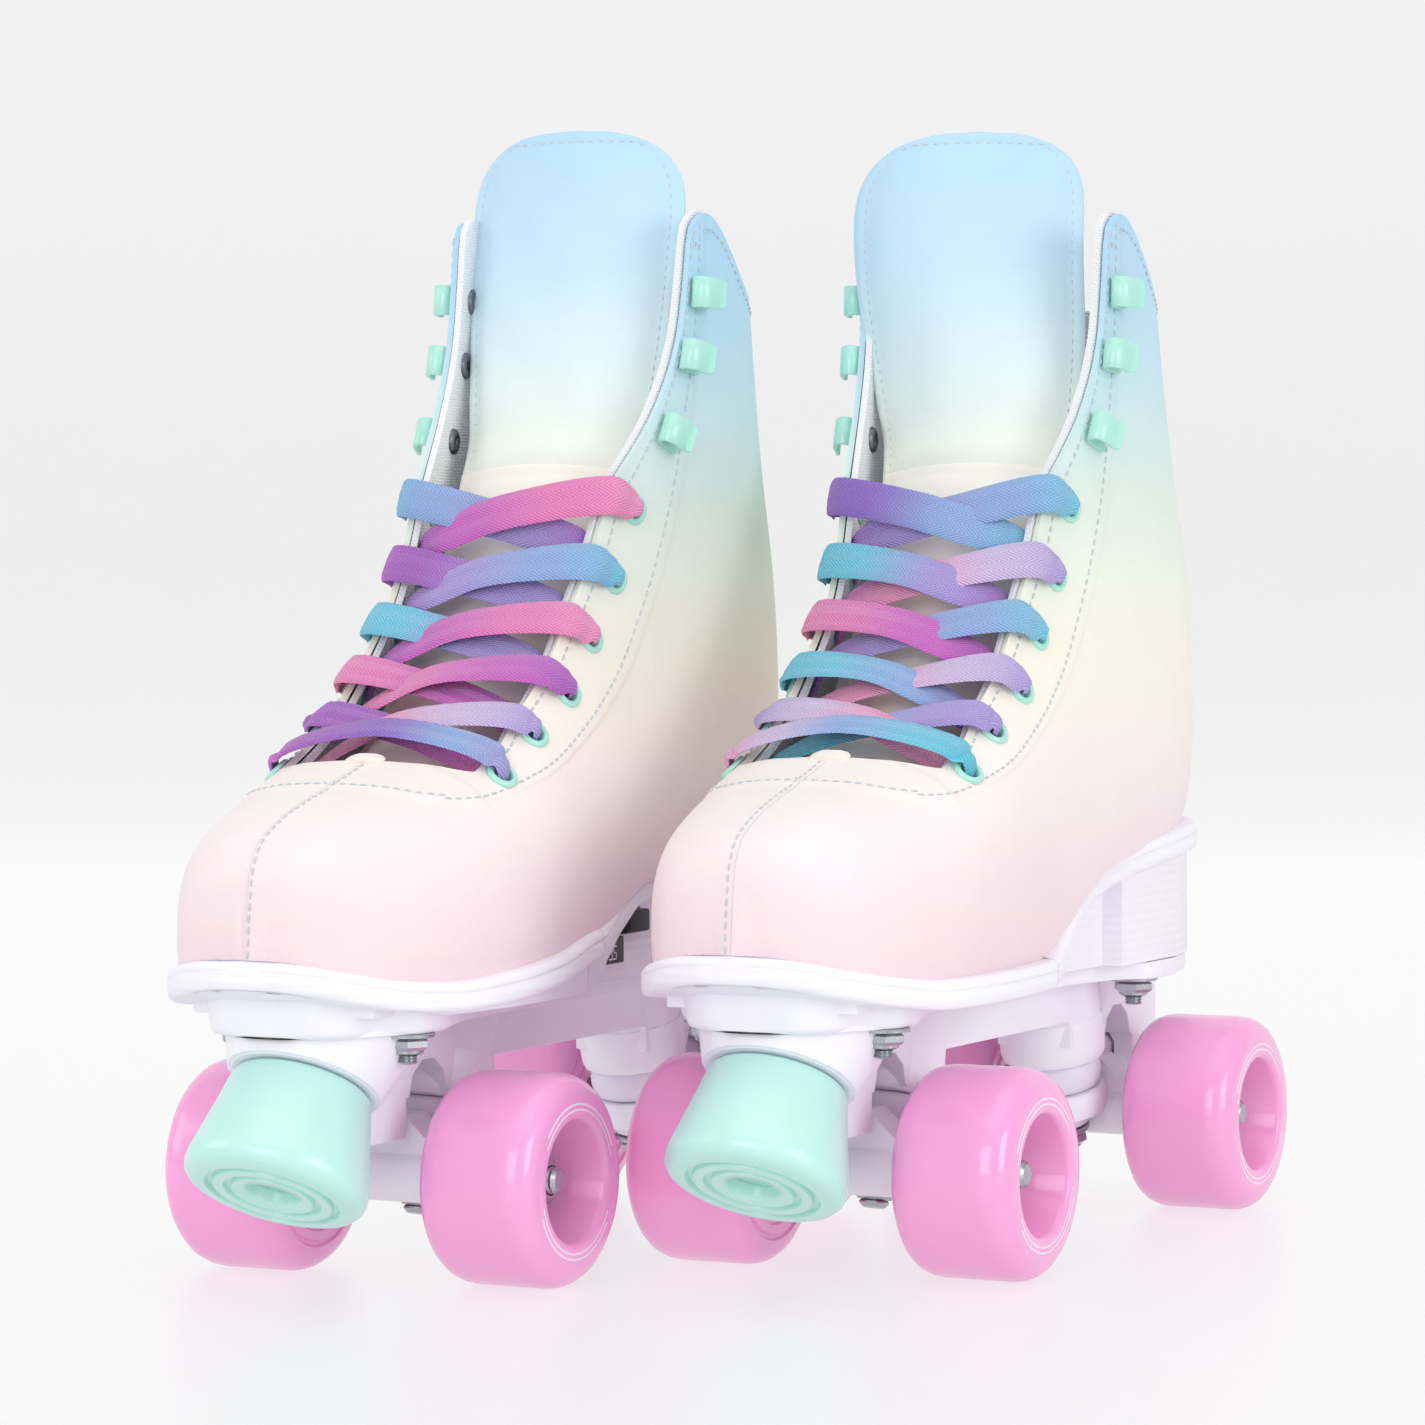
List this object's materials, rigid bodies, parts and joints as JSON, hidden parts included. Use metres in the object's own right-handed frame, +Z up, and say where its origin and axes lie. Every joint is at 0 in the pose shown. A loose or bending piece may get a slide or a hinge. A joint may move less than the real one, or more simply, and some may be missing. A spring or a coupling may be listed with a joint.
{
  "type": "pair of quad roller skates",
  "caption": "Size-adjustable high-top quad roller skates with laced boots, sprung steering trucks, urethane wheels and front toe stops.",
  "frame": {"origin": "on the floor under the middle of the pair's box", "axes": "+Z up, toes towards -Y, the wearer's left skate towards +X and further back"},
  "size_m": [0.209, 0.3184, 0.2993],
  "materials": {
    "boot_leather": "satin",
    "lining": "woven",
    "lace": "woven tape",
    "sole": "moulded",
    "plate": "moulded nylon",
    "stop_rubber": "glossy",
    "steel": "zinc plated",
    "black_plastic": "moulded",
    "cushion": "moulded",
    "wheel": "cast urethane"
  },
  "bodies": {
    "right_skate": {"right_upper": "boot_leather", "right_insole": "lining", "right_heel_sole": "sole", "right_plate": "plate", "right_toe_stop": "stop_rubber", "right_toe_stop_bolt": "steel", "right_tongue": "boot_leather", "right_laces": "lace", "right_rear_kingpin": "steel", "right_rear_kingpin_nut": "steel", "right_front_kingpin": "steel", "right_front_kingpin_nut": "steel"},
    "right_toe": {"right_toe_box": "boot_leather", "right_toe_sole": "sole"},
    "right_tongue_flap": {"right_tongue_top": "boot_leather"},
    "right_button": {"right_size_button": "black_plastic"},
    "right_front_truck": {"right_front_hanger": "plate", "right_front_axle": "steel", "right_front_upper_cushion": "cushion", "right_front_lower_cushion": "cushion"},
    "right_front_inner_wheel": {"right_front_inner_wheel": "wheel"},
    "right_front_outer_wheel": {"right_front_outer_wheel": "wheel"},
    "right_rear_truck": {"right_rear_hanger": "plate", "right_rear_axle": "steel", "right_rear_upper_cushion": "cushion", "right_rear_lower_cushion": "cushion"},
    "right_rear_inner_wheel": {"right_rear_inner_wheel": "wheel"},
    "right_rear_outer_wheel": {"right_rear_outer_wheel": "wheel"},
    "left_skate": {"left_upper": "boot_leather", "left_insole": "lining", "left_heel_sole": "sole", "left_plate": "plate", "left_toe_stop": "stop_rubber", "left_toe_stop_bolt": "steel", "left_tongue": "boot_leather", "left_laces": "lace", "left_rear_kingpin": "steel", "left_rear_kingpin_nut": "steel", "left_front_kingpin": "steel", "left_front_kingpin_nut": "steel"},
    "left_toe": {"left_toe_box": "boot_leather", "left_toe_sole": "sole"},
    "left_tongue_flap": {"left_tongue_top": "boot_leather"},
    "left_button": {"left_size_button": "black_plastic"},
    "left_front_truck": {"left_front_hanger": "plate", "left_front_axle": "steel", "left_front_upper_cushion": "cushion", "left_front_lower_cushion": "cushion"},
    "left_front_inner_wheel": {"left_front_inner_wheel": "wheel"},
    "left_front_outer_wheel": {"left_front_outer_wheel": "wheel"},
    "left_rear_truck": {"left_rear_hanger": "plate", "left_rear_axle": "steel", "left_rear_upper_cushion": "cushion", "left_rear_lower_cushion": "cushion"},
    "left_rear_inner_wheel": {"left_rear_inner_wheel": "wheel"},
    "left_rear_outer_wheel": {"left_rear_outer_wheel": "wheel"}
  },
  "joints": [
    {"name": "right_size_slide", "type": "slide", "parent": "right_skate", "child": "right_toe", "axis": [0, -1, 0], "range_m": [0, 0.02]},
    {"name": "right_size_button_press", "type": "slide", "parent": "right_skate", "child": "right_button", "axis": [-1, 0, 0], "range_m": [0, 0.003], "stiffness_N_per_m": 400},
    {"name": "right_tongue_flex", "type": "hinge", "parent": "right_skate", "child": "right_tongue_flap", "pos_m": [-0.04891, -0.00685, 0.20815], "axis": [1, 0, 0], "range_deg": [0, 25], "stiffness_Nm_per_rad": 0.3},
    {"name": "right_front_truck_steer", "type": "hinge", "parent": "right_skate", "child": "right_front_truck", "pos_m": [-0.0505, -0.06685, 0.031], "axis": [0, -0.9247, 0.3808], "range_deg": [-7, 7], "stiffness_Nm_per_rad": 20, "deforming": ["right_front_upper_cushion", "right_front_lower_cushion"]},
    {"name": "right_front_inner_wheel_spin", "type": "hinge", "parent": "right_front_truck", "child": "right_front_inner_wheel", "pos_m": [-0.013, -0.08385, 0.027], "axis": [1, 0, 0], "continuous": true},
    {"name": "right_front_outer_wheel_spin", "type": "hinge", "parent": "right_front_truck", "child": "right_front_outer_wheel", "pos_m": [-0.088, -0.08385, 0.027], "axis": [1, 0, 0], "continuous": true},
    {"name": "right_rear_truck_steer", "type": "hinge", "parent": "right_skate", "child": "right_rear_truck", "pos_m": [-0.0505, 0.05115, 0.031], "axis": [0, 0.9247, 0.3808], "range_deg": [-7, 7], "stiffness_Nm_per_rad": 20, "deforming": ["right_rear_upper_cushion", "right_rear_lower_cushion"]},
    {"name": "right_rear_inner_wheel_spin", "type": "hinge", "parent": "right_rear_truck", "child": "right_rear_inner_wheel", "pos_m": [-0.013, 0.06815, 0.027], "axis": [1, 0, 0], "continuous": true},
    {"name": "right_rear_outer_wheel_spin", "type": "hinge", "parent": "right_rear_truck", "child": "right_rear_outer_wheel", "pos_m": [-0.088, 0.06815, 0.027], "axis": [1, 0, 0], "continuous": true},
    {"name": "left_skate_lift", "type": "slide", "parent": "right_skate", "child": "left_skate", "axis": [0, 0, 1], "range_m": [0, 0.15]},
    {"name": "left_size_slide", "type": "slide", "parent": "left_skate", "child": "left_toe", "axis": [0, -1, 0], "range_m": [0, 0.02]},
    {"name": "left_size_button_press", "type": "slide", "parent": "left_skate", "child": "left_button", "axis": [1, 0, 0], "range_m": [0, 0.003], "stiffness_N_per_m": 400},
    {"name": "left_tongue_flex", "type": "hinge", "parent": "left_skate", "child": "left_tongue_flap", "pos_m": [0.04891, 0.05315, 0.20815], "axis": [1, 0, 0], "range_deg": [0, 25], "stiffness_Nm_per_rad": 0.3},
    {"name": "left_front_truck_steer", "type": "hinge", "parent": "left_skate", "child": "left_front_truck", "pos_m": [0.0505, -0.00685, 0.031], "axis": [0, -0.9247, 0.3808], "range_deg": [-7, 7], "stiffness_Nm_per_rad": 20, "deforming": ["left_front_upper_cushion", "left_front_lower_cushion"]},
    {"name": "left_front_inner_wheel_spin", "type": "hinge", "parent": "left_front_truck", "child": "left_front_inner_wheel", "pos_m": [0.013, -0.02385, 0.027], "axis": [1, 0, 0], "continuous": true},
    {"name": "left_front_outer_wheel_spin", "type": "hinge", "parent": "left_front_truck", "child": "left_front_outer_wheel", "pos_m": [0.088, -0.02385, 0.027], "axis": [1, 0, 0], "continuous": true},
    {"name": "left_rear_truck_steer", "type": "hinge", "parent": "left_skate", "child": "left_rear_truck", "pos_m": [0.0505, 0.11115, 0.031], "axis": [0, 0.9247, 0.3808], "range_deg": [-7, 7], "stiffness_Nm_per_rad": 20, "deforming": ["left_rear_upper_cushion", "left_rear_lower_cushion"]},
    {"name": "left_rear_inner_wheel_spin", "type": "hinge", "parent": "left_rear_truck", "child": "left_rear_inner_wheel", "pos_m": [0.013, 0.12815, 0.027], "axis": [1, 0, 0], "continuous": true},
    {"name": "left_rear_outer_wheel_spin", "type": "hinge", "parent": "left_rear_truck", "child": "left_rear_outer_wheel", "pos_m": [0.088, 0.12815, 0.027], "axis": [1, 0, 0], "continuous": true}
  ]
}
